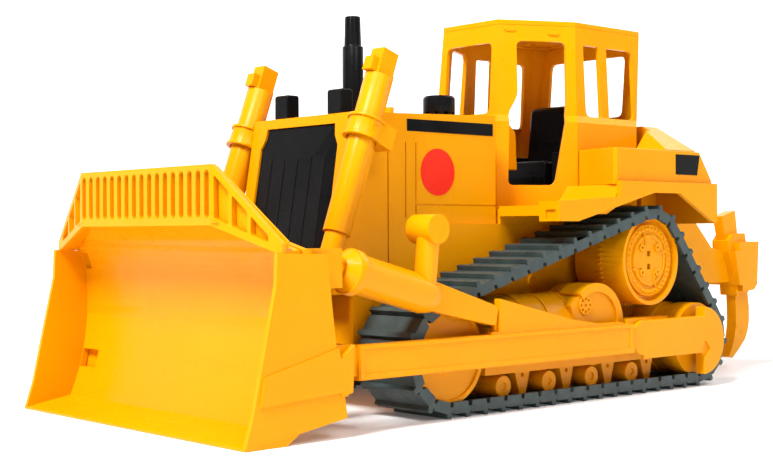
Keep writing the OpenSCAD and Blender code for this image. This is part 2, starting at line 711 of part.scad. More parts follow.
module frame_cover() {
    out = arm_out - 1.4;
    inner = arm_in - 1.9;
    skin = 2.2;
    low = 20.2;
    high = 41.2;
    end_x = rear_x + 6.5;
    end_r = 19.5;
    pocket = arm_pivot[0] - 10.5;
    color(yellow) difference() {
        union() {
            block([end_x, inner, low], [arm_pivot[0], out, high]);
            ycyl(seam_r, out - skin, out, arm_pivot);
            intersection() {
                ycyl(end_r, inner, out, [end_x, rear_wheel[1]]);
                block([end_x - 2 * end_r, 0, 0], [end_x + 0.1, half_blade, 80]);
            }
            ycyl(6.5, wheel_out + gap, inner, rear_wheel);
        }
        block([pocket, inner - 1, 0], [0, out - skin, 60]);
        ycyl(pivot_r, inner - 1, out - pin_skin, arm_pivot);
        ycyl(axle_r, wheel_out - 1, out - skin, rear_wheel);
        translate([end_x - 1, out, low + 2]) rotate([0, 45, 0]) cube([7, 3, 7], center = true);
    }
}
module frame_cover_left() { frame_cover(); }
module frame_cover_right() { right_side() frame_cover(); }

module arm_pivot_pins() {
    color(steel) both() ycyl(pivot_r, track_out - 10, arm_out - 1.4 - pin_skin, arm_pivot);
}

// ---- Tracks, wheels and axles ----
module track() {
    color(rubber) difference() {
        xz(track_in, track_out, belt_outline(link_shape));
        xz(track_in - 1, track_out - guide_w, belt_loop(0));
        xz(track_mid - groove_w / 2, track_mid + groove_w / 2, belt_loop(groove_d));
        xz(track_out - guide_w - 1, track_out + 1, belt_outline(guide_shape));
    }
}
module track_left() { track(); }
module track_right() { right_side() track(); }

module wheel(w, out) {
    rim = w[2] - gap;
    hub_r = axle_r + 3;
    rim_t = 2.6;
    difference() {
        ycyl(rim, wheel_in, out, w);
        difference() {
            ycyl(rim - rim_t, wheel_in - 1, out - 5, w);
            ycyl(hub_r, wheel_in - 1, out, w);
        }
        ycyl(axle_r + run_fit, wheel_in - 1, out + 1, w);
        children();
    }
}

module front_idler() {
    color(yellow) wheel(front_wheel, wheel_out) {
        difference() {
            ycyl(front_r - 3, wheel_out - 1.2, wheel_out + 1, front_wheel);
            ycyl(9, wheel_out - 2, wheel_out + 2, front_wheel);
        }
        difference() {
            ycyl(front_r + 1, track_mid - 4, track_mid + 4, front_wheel);
            ycyl(front_r - 1.6, track_mid - 5, track_mid + 5, front_wheel);
        }
    }
}
module front_idler_left() { front_idler(); }
module front_idler_right() { right_side() front_idler(); }

module rear_idler() {
    color(yellow) wheel(rear_wheel, wheel_out) {
        difference() {
            ycyl(rear_r + 1, track_mid - 4, track_mid + 4, rear_wheel);
            ycyl(rear_r - 1.6, track_mid - 5, track_mid + 5, rear_wheel);
        }
    }
}
module rear_idler_left() { rear_idler(); }
module rear_idler_right() { right_side() rear_idler(); }

drum_out = wheel_out;
hub_floor = drum_out - 4;
tooth_count = 60;
tooth_r = drum_r + groove_d - gap - 0.1;
teeth = [for (i = [0 : tooth_count - 1]) for (k = [0 : 3])
    let (a = (i + [0.05, 0.3, 0.5, 0.75][k]) * 360 / tooth_count,
        r = (k == 1 || k == 2) ? tooth_r : drum_r - 1)
    [drum_x + r * cos(a), drum_z + r * sin(a)]];

module drive_drum() {
    rim = drum_r - gap;
    hub_r = axle_r + 3;
    color(yellow) difference() {
        union() {
            ycyl(rim, wheel_in, drum_out, drum_wheel);
            xz(track_mid - 1.2, track_mid + 1.2, teeth);
        }
        difference() {
            ycyl(rim - 2.6, wheel_in - 1, hub_floor - 2.4, drum_wheel);
            ycyl(hub_r, wheel_in - 1, drum_out, drum_wheel);
        }
        ycyl(rim - 2.2, hub_floor, drum_out + 1, drum_wheel);
        ycyl(axle_r + run_fit, wheel_in - 1, drum_out, drum_wheel);
    }
}
module drive_drum_left() { drive_drum(); }
module drive_drum_right() { right_side() drive_drum(); }

module hub_cover() {
    cover_r = drum_r - 5.3;
    face = hub_floor + 2.4;
    studs = 28;
    function around(r, a) = [drum_x + r * cos(a), drum_z + r * sin(a)];
    color(yellow) {
        difference() {
            ycyl(cover_r, hub_floor, face, drum_wheel);
            difference() {
                ycyl(cover_r - 5.2, face - 0.7, face + 1, drum_wheel);
                ycyl(cover_r - 9, face - 2, face + 2, drum_wheel);
            }
        }
        for (i = [0 : studs - 1]) ycyl(1, face, face + 0.8, around(cover_r - 2, i * 360 / studs));
        for (i = [0 : 3]) ycyl(2.4, face, face + 0.8, around(cover_r - 10, 45 + i * 90));
        ycyl(4.4, face, face + 1.2, drum_wheel);
    }
}
module hub_cover_left() { hub_cover(); }
module hub_cover_right() { right_side() hub_cover(); }

module front_axle() { color(steel) ycyl(axle_r, -wheel_out - 2.4, wheel_out + 2.4, front_wheel); }
module rear_axle() { color(steel) ycyl(axle_r, 0.3 - arm_out + 3.6, arm_out - 3.9, rear_wheel); }
module drive_axle() { color(steel) ycyl(axle_r, 0.3 - hub_floor, hub_floor - 0.3, drum_wheel); }
module axle_caps() {
    color(yellow) both() difference() {
        ycyl(6, wheel_out + gap, wheel_out + 3.4, front_wheel);
        ycyl(axle_r, wheel_out - 1, wheel_out + 2.4, front_wheel);
    }
}

// ---- Blade ----
function arc_points(mid, r, a0, a1, steps) =
    [for (i = [0 : steps]) let (a = mix(a0, a1, i / steps)) [mid[0] - r * cos(a), mid[1] + r * sin(a)]];
board = concat([[lip_x, 0], [lip_x, 1]], arc_points(face_mid, face_r, lip_angle, bend_angle, 14),
    arc_points(bend_mid, bend_r, bend_angle, bend_end, 10), [[guard_x, guard_low + 1]],
    [[guard_x - blade_wall, guard_low + 1]],
    arc_points(bend_mid, bend_r + blade_wall, bend_end, bend_angle, 10),
    arc_points(face_mid, face_r + blade_wall, bend_angle, lip_angle, 14), [[lip_x - 22, 0]]);

module slot(y, low, high, w) {
    block([guard_x - 9, y - w / 2, low + w / 2], [guard_x + 9, y + w / 2, high - w / 2]);
    for (z = [low + w / 2, high - w / 2]) translate([guard_x - 9, y, z]) rotate([0, 90, 0])
        cylinder(r = w / 2, h = 18);
}

module guard_wing() {
    run = half_blade - guard_half - 0.3;
    drop = guard_low - blade_h + 0.6;
    half_t = blade_wall / 2 - 0.1;
    rim = 3.4;
    rise = guard_top - blade_h - 4;
    wing = [[-0.9, guard_low - 1], [-0.9, guard_top], [0, guard_top], [run, blade_h + 4], [run, blade_h - 1]];
    function top_z(y) = guard_top - rim - y * rise / run;
    function low_z(y) = guard_low + 2.4 - y * drop / run;
    windows = [[1.6, 10.2], [12.2, 21], [23, 33]];
    translate([guard_x - blade_wall / 2, guard_half, 0]) rotate([0, 0, atan2(wing_back, run)]) difference() {
        yz(-half_t, half_t, wing);
        for (s = windows) yz(-half_t - 1, half_t + 1, rounded([[s[0], low_z(s[0])], [s[1], low_z(s[1])],
            [s[1], top_z(s[1])], [s[0], top_z(s[0])]], 1.2));
    }
}

module blade() {
    side = [[lip_x, 0], [221.5, 13], [209.2, blade_h - 14], [208.6, blade_h], [181.7, blade_h - 0.8],
        [175.6, 34], [171.6, 18.3], [170.2, 9]];
    ear = [[176, 34], [174, 18.4], [167.6, 20], [166.4, 41]];
    rib = [[218.3, 17.5], [215.8, 30], [175.4, 40], [171.6, 20.5]];
    front_view = [[-half_blade, -1], [half_blade, -1], [half_blade, blade_h + 1.2],
        [guard_half, guard_low + 1.4], [-guard_half, guard_low + 1.4], [-half_blade, blade_h + 1.2]];
    slot_pitch = 2 * (guard_half - guard_end_rib - guard_slot / 2) / (slot_count - 1);
    color(yellow) difference() {
        union() {
            intersection() {
                xz(1 - half_blade, half_blade - 1, board);
                yz(150, 240, front_view);
            }
            both() xz(plate_in, half_blade - 0.8, side);
            both() xz(plate_in, half_blade, ear);
            both() xz(plate_in, half_blade, rib);
            difference() {
                block([guard_x - blade_wall, -guard_half, guard_low - 1], [guard_x, guard_half, guard_top]);
                for (i = [0 : slot_count - 1]) slot((i - (slot_count - 1) / 2) * slot_pitch,
                    guard_low + 2.2, guard_top - 2.4, guard_slot);
            }
            both() guard_wing();
        }
        both() block([180, plate_in - 16, 20], [200, plate_in - 0.5, 29.5]);
        both() block([185, plate_in - 7, 72], [200, plate_in - 1, 80]);
    }
}

module blade_frame() {
    beam = [[beam_rear + 0.6, beam_low], [beam_rear, beam_high], [187, beam_high], [190.8, beam_low]];
    hollow = [[beam_rear - 2, beam_low + wall], [beam_rear - 2, beam_high - wall],
        [187 - wall, beam_high - wall], [190.2 - wall, beam_low + wall]];
    ear_gap = 4.6;
    ear_t = 2.8;
    foot = lift_foot;
    ear = [[foot[0] - 5, foot[1] - 3], [foot[0] - 5, foot[1] + 3], [foot[0] - 2, foot[1] + 5.4],
        [foot[0] + 3, foot[1] + 5.4], [186, 60], [186.6, beam_high], [beam_rear + 2, beam_high],
        [beam_rear + 0.5, beam_low + 6], [foot[0] - 1, foot[1] - 6]];
    brace_tip = brace_point(brace_end - 3.5);
    ribs = [-70, -28, 0, 28, 70];
    color(yellow) difference() {
        union() {
            difference() {
                xz(0.2 - plate_in, plate_in - 0.2, beam);
                xz(-plate_in + wall, plate_in - wall, hollow);
            }
            for (y = ribs) xz(y - 1, y + 1, beam);
            both() for (side = [-1, 1]) translate([0, side > 0 ? ear_gap : -ear_gap - ear_t, 0])
                xz(lift_y, lift_y + ear_t, ear);
            both() block([brace_tip[0] - 3, brace_y - 6, 66], [187, brace_y + 6, 83.5]);
            both() block([beam_rear, arm_in - 2, arm_low - 1], [beam_rear + 3, plate_in - 0.2, beam_high]);
        }
        both() ycyl(foot_pin_r, lift_y - 12, lift_y + 12, foot);
        both() on_brace() cylinder(r = brace_pin_r + 0.05, h = brace_end + 0.3);
    }
}

module lift_pins() {
    color(steel) both() ycyl(foot_pin_r, lift_y - 7.8, lift_y + 7.8, lift_foot);
}

module push_arm() {
    neck_t = 1.4;
    tab_t = 2;
    start = arm_pivot[0] + seam_r + gap;
    gusset = [[67.2, arm_top - 1], [67.2, 57.5], [12.8, 44.8], [-20, arm_top]];
    lug = [[60.5, arm_top - 1], [61, 47], [64.8, 52.2], [66.3, 52.2], [68.8, 44.7], [68.9, arm_top - 1]];
    tab = [[start + 1, arm_low], [start + 1, arm_top + 2.4], [start - 15.5, arm_top + 2.4],
        [start - 18, arm_top - 2], [start - 18, arm_low + 3], [start - 14, arm_low]];
    color(yellow) difference() {
        union() {
            block([start, arm_in, arm_low], [arm_front, arm_out, arm_top]);
            block([arm_front - 1, arm_in + neck_t, arm_low + 2], [beam_rear, arm_out - neck_t, arm_top - 1]);
            xz(arm_in + 0.6, arm_out - 1.4, gusset);
            block([-30, arm_in, arm_top - 1], [72, arm_out - 1.4, arm_top + 1.2]);
            xz(arm_in + 0.6, arm_in + 2.2, lug);
            xz(arm_in, arm_in + tab_t, tab);
        }
        ycyl(pivot_r + run_fit, arm_in - 1, arm_out, arm_pivot);
    }
}
module push_arm_left() { push_arm(); }
module push_arm_right() { right_side() push_arm(); }

module on_brace() {
    translate([brace_start[0], brace_y, brace_start[1]]) rotate([0, 90 - brace_slope, 0]) children();
}
function brace_point(t) = [brace_start[0] + t * cos(brace_slope), brace_start[1] + t * sin(brace_slope)];

module tilt_brace() {
    out = brace_y + brace_r;
    near = track_out + gap;
    color(yellow) difference() {
        union() {
            on_brace() {
                translate([0, 0, brace_body]) cylinder(r1 = brace_r - 1.5, r2 = brace_r, h = 6);
                translate([0, 0, brace_body + 6]) cylinder(r = brace_r, h = brace_ring - brace_body - 6);
                translate([0, 0, brace_ring]) cylinder(r = brace_r + 1.4, h = 4.5);
                translate([0, 0, brace_ring + 4.5]) cylinder(r1 = brace_r + 0.6, r2 = 5.5, h = 4.5);
                translate([0, 0, brace_ring]) cylinder(r = brace_pin_r, h = brace_end - brace_ring);
                xz(near - brace_y, near - brace_y + 6.4, [[4, 2.7], [5, 5], [7.2, brace_body + 5],
                    [-7.2, brace_body + 5], [-5, 5], [-4, 2.7]]);
            }
        }
        block([0, 0, 0], [124, near, 120]);
    }
}
module tilt_brace_left() { tilt_brace(); }
module tilt_brace_right() { right_side() tilt_brace(); }

module brace_handle() {
    foot = brace_point(handle_at);
    lean = 6;
    low = foot[1] + brace_r - 0.6;
    color(yellow) difference() {
        union() {
            translate([foot[0], brace_y + 2.2, foot[1]]) rotate([0, -lean, 0])
                cylinder(r = handle_r, h = knob_z - foot[1]);
            ycyl(knob_r, brace_y - 6.5, brace_y + 9, [foot[0] - (knob_z - foot[1]) * tan(lean), knob_z]);
        }
        on_brace() cylinder(r = brace_r + 0.02, h = 200);
        block([0, 0, 0], [200, track_out + gap, low]);
    }
}
module brace_handle_left() { brace_handle(); }
module brace_handle_right() { right_side() brace_handle(); }

// ---- Ripper ----
module ripper_bracket() {
    cheek = [[hull_rear, 60], [hull_rear, 94.4], [ripper_pivot[0] - 3, 94.4],
        [ripper_pivot[0] - 8, ripper_pivot[1] + 6], [ripper_pivot[0] - 8, ripper_pivot[1] - 8]];
    color(yellow) difference() {
        both() xz(link_y - gap - 4, link_y - gap, cheek);
        ycyl(ripper_pin_r, -half_blade, half_blade, ripper_pivot);
    }
}

function shank_y(i) = (i - (shank_count - 1) / 2) * shank_step;
shank_side = [[beam_x + 5.6, 100], [beam_x - 9.6, 103.8], [beam_x - 12, 88.6], [beam_x - 24.2, 48],
    [beam_x - 25.4, 40], [beam_x - 25.4, 31], [beam_x - 23.8, 24.5], [beam_x - 20.6, 18.8],
    [beam_x - 13.3, 12.5], [beam_x - 6, 7.5], [beam_x - 1.9, 8.5], [beam_x - 5.6, 14],
    [beam_x - 8.3, 20.3], [beam_x - 9.8, 27], [beam_x - 10.2, 33], [beam_x - 10, 41], [beam_x - 9.5, 48]];

module ripper_arm() {
    top_z = beam_low_z + beam_h;
    rail = [[ripper_pivot[0], ripper_pivot[1] - ripper_eye_r], [ripper_pivot[0] - 7, 62], [-160, beam_low_z + 2],
        [beam_x - beam_lean, beam_low_z + 2], [beam_x, top_z], [-184, 79.5], [-166.5, 96],
        [-150, 96], [ripper_pivot[0] - 4, ripper_pivot[1] + 7]];
    beam = [[beam_x, top_z], [beam_x - beam_t, top_z], [beam_x - beam_t - beam_lean, beam_low_z],
        [beam_x - beam_lean, beam_low_z]];
    box = [[beam_x - beam_t + 2, 83.2], [beam_x - 27.3, 83.5], [beam_x - 25.6, 55.5],
        [beam_x - 22, 51.8], [beam_x - beam_t - 2, 51]];
    lug = [[beam_x + 1.6, top_z - 1], [beam_x + 2, 84], [beam_x - 2.6, 88.6], [beam_x - 16.4, 89],
        [beam_x - 18, 83], [beam_x - 22, 52], [beam_x - 20, 50], [beam_x - 7, 48.4],
        [beam_x - 6, beam_low_z + 1]];
    color(yellow) difference() {
        union() {
            xz(-beam_w / 2, beam_w / 2, beam);
            both() xz(link_y, link_y + link_t, rail);
            both() ycyl(ripper_eye_r, link_y, link_y + link_t, ripper_pivot);
            for (i = [0 : shank_count - 1]) mirror([0, shank_y(i) < 0 ? 1 : 0, 0]) {
                y = abs(shank_y(i));
                xz(y - pocket_w / 2, y + pocket_w / 2 + (y > 1 ? pocket_lip : 0), box);
                xz(y - pocket_w / 2, y + pocket_w / 2, lug);
            }
        }
        for (i = [0 : shank_count - 1]) translate([0, shank_y(i), 0])
            xz(-shank_t / 2, shank_t / 2, shank_side);
        for (i = [0 : shank_count - 1])
            ycyl(shank_pin_r, shank_y(i) - shank_pin_reach, shank_y(i) + shank_pin_reach, shank_pin_at);
        ycyl(ripper_pin_r + run_fit, -half_blade, half_blade, ripper_pivot);
    }
}

module ripper_pin() {
    color(steel) ycyl(ripper_pin_r, -link_y - link_t - 1, link_y + link_t + 1, ripper_pivot);
}

module shanks() {
    color(yellow) for (i = [0 : shank_count - 1]) translate([0, shank_y(i), 0]) difference() {
        xz(-shank_t / 2, shank_t / 2, shank_side);
        ycyl(shank_pin_r, -beam_w, beam_w, shank_pin_at);
    }
}

module shank_pins() {
    color(steel) for (i = [0 : shank_count - 1])
        ycyl(shank_pin_r, shank_y(i) - shank_pin_reach, shank_y(i) + shank_pin_reach, shank_pin_at);
}

tub();
hood();
grille();
headlights();
exhaust_stack();
pre_cleaner();
hood_stripes();
round_sticker();
tank_patches();
lift_yoke_left();
lift_yoke_right();
rear_body();
side_tank_left();
side_tank_right();
rear_cover();
cab_shell();
cab_roof();
cab_floor();
seat();
track_frame_left();
track_frame_right();
frame_cover_left();
frame_cover_right();
rollers_left();
rollers_right();
track_left();
track_right();
front_axle();
rear_axle();
drive_axle();
axle_caps();
arm_pivot_pins();
front_idler_left();
front_idler_right();
rear_idler_left();
rear_idler_right();
drive_drum_left();
drive_drum_right();
hub_cover_left();
hub_cover_right();
blade();
blade_frame();
push_arm_left();
push_arm_right();
tilt_brace_left();
tilt_brace_right();
brace_handle_left();
brace_handle_right();
lift_pins();
lift_barrel_left();
lift_barrel_right();
lift_rod_left();
lift_rod_right();
ripper_bracket();
ripper_arm();
ripper_pin();
shanks();
shank_pins();
body_screws();
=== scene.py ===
"""Looks of the toy bulldozer: moulded yellow plastic, black trim and grey-green rubber tracks.

Every piece is in metres in the CAD's own frame: +X forward to the blade, +Y left, +Z up.
"""

import json
import math

import bmesh
import bpy
from mathutils import Matrix, Vector


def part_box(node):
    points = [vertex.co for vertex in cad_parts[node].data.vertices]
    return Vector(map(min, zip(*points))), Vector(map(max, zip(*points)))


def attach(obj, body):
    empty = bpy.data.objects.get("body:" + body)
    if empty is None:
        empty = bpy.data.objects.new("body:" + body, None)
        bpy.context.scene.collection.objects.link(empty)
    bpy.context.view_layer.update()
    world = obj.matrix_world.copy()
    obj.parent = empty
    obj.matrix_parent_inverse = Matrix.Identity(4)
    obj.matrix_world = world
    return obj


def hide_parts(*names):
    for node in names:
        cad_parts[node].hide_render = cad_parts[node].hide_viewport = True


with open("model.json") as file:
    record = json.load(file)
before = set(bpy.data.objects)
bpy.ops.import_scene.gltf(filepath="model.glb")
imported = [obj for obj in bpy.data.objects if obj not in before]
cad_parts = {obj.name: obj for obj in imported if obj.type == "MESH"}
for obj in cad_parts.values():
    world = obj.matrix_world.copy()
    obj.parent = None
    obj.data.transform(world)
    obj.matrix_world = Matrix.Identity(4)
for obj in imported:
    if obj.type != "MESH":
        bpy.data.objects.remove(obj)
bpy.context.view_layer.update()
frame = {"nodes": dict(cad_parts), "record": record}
MM = 0.001
nodes = frame["nodes"]
slot_of = {s["node"]: s["material_slot"] for s in frame["record"]["subparts"]}


# ---- Materials ----------------------------------------------------------------------------

def new_material(name, roughness, coat=0.0, specular=0.1):
    """A material with its node tree and its shader."""
    material = bpy.data.materials.new(name)
    material.use_nodes = True
    tree = material.node_tree
    shader = tree.nodes["Principled BSDF"]
    shader.inputs["Roughness"].default_value = roughness
    shader.inputs["Coat Weight"].default_value = coat
    shader.inputs["Coat Roughness"].default_value = 0.12
    shader.inputs["Specular IOR Level"].default_value = specular
    return material, tree, shader


def noise(tree, scale, detail=2.0, roughness=0.5):
    """Noise in object space, with scale given as waves per metre."""
    place = tree.nodes.new("ShaderNodeTexCoord")
    texture = tree.nodes.new("ShaderNodeTexNoise")
    texture.inputs["Scale"].default_value = scale
    texture.inputs["Detail"].default_value = detail
    texture.inputs["Roughness"].default_value = roughness
    tree.links.new(place.outputs["Object"], texture.inputs["Vector"])
    return texture.outputs["Fac"]


def ramp(tree, factor, low, high, start=0.35, end=0.65):
    """A colour that runs from low to high as factor goes from start to end."""
    node = tree.nodes.new("ShaderNodeValToRGB")
    node.color_ramp.elements[0].position = start
    node.color_ramp.elements[0].color = (*low, 1)
    node.color_ramp.elements[1].position = end
    node.color_ramp.elements[1].color = (*high, 1)
    tree.links.new(factor, node.inputs["Fac"])
    return node.outputs["Color"]


def spread(tree, factor, low, high):
    """A number that runs from low to high as factor goes from 0.3 to 0.7."""
    node = tree.nodes.new("ShaderNodeMapRange")
    node.inputs["From Min"].default_value = 0.3
    node.inputs["From Max"].default_value = 0.7
    node.inputs["To Min"].default_value = low
    node.inputs["To Max"].default_value = high
    tree.links.new(factor, node.inputs["Value"])
    return node.outputs["Result"]


def bump(tree, shader, height, strength, distance):
    """Bump on a shader's normal."""
    node = tree.nodes.new("ShaderNodeBump")
    node.inputs["Strength"].default_value = strength
    node.inputs["Distance"].default_value = distance
    tree.links.new(height, node.inputs["Height"])
    tree.links.new(node.outputs["Normal"], shader.inputs["Normal"])


def plastic(name, low, high, roughness, grain=2600.0, grain_strength=0.05, coat=0.02):
    """Moulded plastic: a slight flow mottle in the colour, a fine skin grain and uneven sheen."""
    material, tree, shader = new_material(name, roughness, coat)
    flow = noise(tree, 28.0, 3.0)
    tree.links.new(ramp(tree, flow, low, high), shader.inputs["Base Color"])
    smear = noise(tree, 90.0, 2.0)
    tree.links.new(spread(tree, smear, roughness - 0.05, roughness + 0.07), shader.inputs["Roughness"])
    bump(tree, shader, noise(tree, grain, 2.0), grain_strength, 0.0002)
    return material


def make_materials():
    """The materials by record slot, and a glossier yellow for the hub faces."""
    made = {
        "yellow_plastic": plastic("yellow_plastic", (0.74, 0.278, 0.0), (0.76, 0.290, 0.0), 0.3),
        "yellow_gloss": plastic("yellow_gloss", (0.74, 0.280, 0.0), (0.76, 0.292, 0.0), 0.26,
                                coat=0.05),
        "black_plastic": plastic("black_plastic", (0.003, 0.003, 0.0035), (0.006, 0.006, 0.0065), 0.3,
                                 coat=0.0),
        "steel_pins": plastic("steel_pins", (0.52, 0.52, 0.53), (0.62, 0.62, 0.63), 0.3, coat=0.0),
        "red_label": plastic("red_label", (0.74, 0.02, 0.008), (0.82, 0.034, 0.014), 0.3),
    }
    made["steel_pins"].node_tree.nodes["Principled BSDF"].inputs["Metallic"].default_value = 1.0
    rubber, tree, shader = new_material("track_rubber", 0.5, 0.0, 0.45)
    dust = noise(tree, 120.0, 4.0, 0.6)
    tree.links.new(ramp(tree, dust, (0.022, 0.038, 0.038), (0.038, 0.060, 0.058)),
                   shader.inputs["Base Color"])
    tree.links.new(spread(tree, noise(tree, 300.0), 0.4, 0.58), shader.inputs["Roughness"])
    bump(tree, shader, noise(tree, 1800.0, 3.0), 0.16, 0.0003)
    made["track_rubber"] = rubber
    return made


materials = make_materials()


def dress(obj, material):
    """Gives an object one material."""
    obj.data.materials.clear()
    obj.data.materials.append(materials[material])


# ---- CAD nodes: rounded edges and materials -----------------------------------------------

EDGE = 0.45  # the usual moulded radius in mm, and the exceptions by node
EDGE_STEPS = 2
FINE_EDGE = {"seat": 2.6, "round_sticker": 0.08, "tank_patches": 0.08, "exhaust_stack": 0.6,
             "lift_barrel_left": 1.2, "lift_barrel_right": 1.2, "headlights": 0.9,
             "drive_drum_left": 0.7, "drive_drum_right": 0.7,
             "lift_yoke_left": 0.8, "lift_yoke_right": 0.8,
             "track_left": 0.3, "track_right": 0.3, "hub_cover_left": 0.2, "hub_cover_right": 0.2,
             "hood_stripes": 0.1, "body_screws": 0.15, "grille": 0.3}


def round_edges(obj, width):
    """Merges flat triangles into whole faces and gives every sharp edge a moulded radius."""
    weld = obj.modifiers.new("weld", "WELD")
    weld.merge_threshold = 1e-6
    flat = obj.modifiers.new("flat", "DECIMATE")
    flat.decimate_type = "DISSOLVE"
    flat.angle_limit = math.radians(0.5)
    bevel = obj.modifiers.new("edges", "BEVEL")
    bevel.width = width
    bevel.segments = EDGE_STEPS
    bevel.limit_method = "ANGLE"
    bevel.angle_limit = math.radians(32)
    bevel.miter_outer = "MITER_ARC"
    bevel.harden_normals = True


for name, obj in nodes.items():
    dress(obj, slot_of[name])
    round_edges(obj, FINE_EDGE.get(name, EDGE) * MM)


# ---- Pieces made here -----------------------------------------------------------------------

def piece(name, mesh, body, bevel, material="yellow_plastic"):
    """Makes a mesh piece that rides on a body, with moulded edges of bevel mm."""
    data = bpy.data.meshes.new(name)
    bmesh.ops.recalc_face_normals(mesh, faces=mesh.faces)
    mesh.to_mesh(data)
    mesh.free()
    obj = bpy.data.objects.new(name, data)
    bpy.context.scene.collection.objects.link(obj)
    data.materials.append(materials[material])
    rounding = obj.modifiers.new("edges", "BEVEL")
    rounding.width = bevel * MM
    rounding.segments = EDGE_STEPS
    rounding.limit_method = "ANGLE"
    rounding.angle_limit = math.radians(40)
    rounding.harden_normals = True
    for face in data.polygons:
        face.use_smooth = True
    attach(obj, body)


def add_slab(mesh, first, second, side=1):
    """Adds a closed solid between two outlines of (x, y, z) points in mm."""
    rims = [[mesh.verts.new(Vector((x, y * side, z)) * MM) for x, y, z in rim] for rim in (first, second)]
    mesh.faces.new(rims[0])
    mesh.faces.new(list(reversed(rims[1])))
    for i in range(len(first)):
        j = (i + 1) % len(first)
        mesh.faces.new((rims[0][i], rims[0][j], rims[1][j], rims[1][i]))


def add_prism(mesh, outline, low, high, side=1):
    """Adds an outline in mm, drawn in the xz plane, from low to high along y."""
    add_slab(mesh, *[[(x, y, z) for x, z in outline] for y in (low, high)], side)


def add_turned(mesh, profile, x, z, side=1, steps=64, start=0.0, sweep=360.0):
    """Adds a body turned about an axis along Y at (x, z): profile is [(radius, y)] in mm."""
    whole = sweep >= 360
    rows = []
    for i in range(steps if whole else steps + 1):
        angle = math.radians(start + sweep * i / steps)
        spots = [(around(x, z, r, angle), y) for r, y in profile]
        rows.append([mesh.verts.new(Vector((u, y * side, v)) * MM) for (u, v), y in spots])
    pairs = list(zip(rows, rows[1:])) + ([(rows[-1], rows[0])] if whole else [])
    count = len(profile)
    for a, b in pairs:
        for k in range(count):
            m = (k + 1) % count
            mesh.faces.new((a[k], a[m], b[m], b[k]))
    if not whole:
        mesh.faces.new(rows[0])
        mesh.faces.new(list(reversed(rows[-1])))


def ring(r0, r1, y0, y1):
    """The closed profile of a ring between two radii and two faces."""
    return [(r0, y0), (r1, y0), (r1, y1), (r0, y1)]


def box_outline(x0, z0, x1, z1):
    """A rectangle's outline."""
    return [(x0, z0), (x1, z0), (x1, z1), (x0, z1)]


SIDES = (("left", 1), ("right", -1))


def around(x, z, r, angle):
    """The point at a radius and angle about (x, z)."""
    return x + r * math.cos(angle), z + r * math.sin(angle)


def circle(x, z, r, steps):
    """The corners of a round outline."""
    return [around(x, z, r, 2 * math.pi * i / steps) for i in range(steps)]


def add_plate(mesh, outline, holes, low, high, side=1):
    """Adds a plate drawn in the xz plane with holes through it, from low to high along y."""
    edges = []
    for loop in [outline] + holes:
        rim = [mesh.verts.new(Vector((x, low * side, z)) * MM) for x, z in loop]
        edges += [mesh.edges.new((rim[i], rim[(i + 1) % len(rim)])) for i in range(len(rim))]
    made = bmesh.ops.triangle_fill(mesh, use_beauty=True, edges=edges)
    faces = [part for part in made["geom"] if isinstance(part, bmesh.types.BMFace)]
    grown = bmesh.ops.extrude_face_region(mesh, geom=faces)
    moved = [part for part in grown["geom"] if isinstance(part, bmesh.types.BMVert)]
    bmesh.ops.translate(mesh, verts=moved, vec=Vector((0, (high - low) * side * MM, 0)))


def add_bead(mesh, x, y, z, r, side):
    """Adds a low round bead whose middle lies in the plane y."""
    profile = [(0.01, y - 0.3)] + [(r * math.cos(a), y + r * math.sin(a))
                                  for a in (0, math.pi / 6, math.pi / 3)] + [(0.01, y + r)]
    add_turned(mesh, profile, x, z, side, 10)


# Hub covers: beaded rim, groove, and a raised middle with two square holes and four curled ridges.
HUB_X, HUB_Z, HUB_R = -68.2, 74.2, 20.5
HUB_MIDDLE_R = 12.6
BEADS, BEAD_R, BEAD_AT = 36, 1.1, 18.1
SQUARE_HALF, SQUARE_LIFT = 1.5, 3.7
KNOB_AT, RIDGE_AT = 9.9, 14.6
hub_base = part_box("hub_cover_left")[0].y / MM
hub_face = hub_base + 2.4


def make_hub_face(side_name, side):
    """The outer face of one drive drum."""
    mesh = bmesh.new()
    rim = [(HUB_MIDDLE_R, hub_base), (HUB_R, hub_base), (HUB_R, hub_face), (HUB_R - 0.9, hub_face + 0.5),
           (HUB_R - 1.4, hub_face), (16.4, hub_face), (16.0, hub_face - 0.9), (14.8, hub_face - 0.9),
           (14.4, hub_face + 0.5), (HUB_MIDDLE_R, hub_face + 0.5)]
    add_turned(mesh, rim, HUB_X, HUB_Z, side, 96)
    squares = [box_outline(HUB_X - SQUARE_HALF, HUB_Z + lift - SQUARE_HALF,
                           HUB_X + SQUARE_HALF, HUB_Z + lift + SQUARE_HALF)
               for lift in (-SQUARE_LIFT, SQUARE_LIFT)]
    middle = circle(HUB_X, HUB_Z, HUB_MIDDLE_R + 0.1, 72)
    add_plate(mesh, middle, squares, hub_base + 0.4, hub_face + 0.1, side)
    for i in range(BEADS):
        x, z = around(HUB_X, HUB_Z, BEAD_AT, 2 * math.pi * i / BEADS)
        add_bead(mesh, x, hub_face, z, BEAD_R, side)
    for turn in (0, 90, 180, 270):
        angle = math.radians(45 + turn)
        add_turned(mesh, ring(0.8, 2.2, hub_face, hub_face + 1.2), *around(HUB_X, HUB_Z, KNOB_AT, angle),
                   side, 24)
        add_turned(mesh, ring(6.2, 7.2, hub_face, hub_face + 0.9), *around(HUB_X, HUB_Z, RIDGE_AT, angle),
                   side, 24, 135 + turn, 90)
    piece("hub_face_" + side_name, mesh, "drum_" + side_name, 0.2, "yellow_gloss")
    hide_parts("hub_cover_" + side_name)


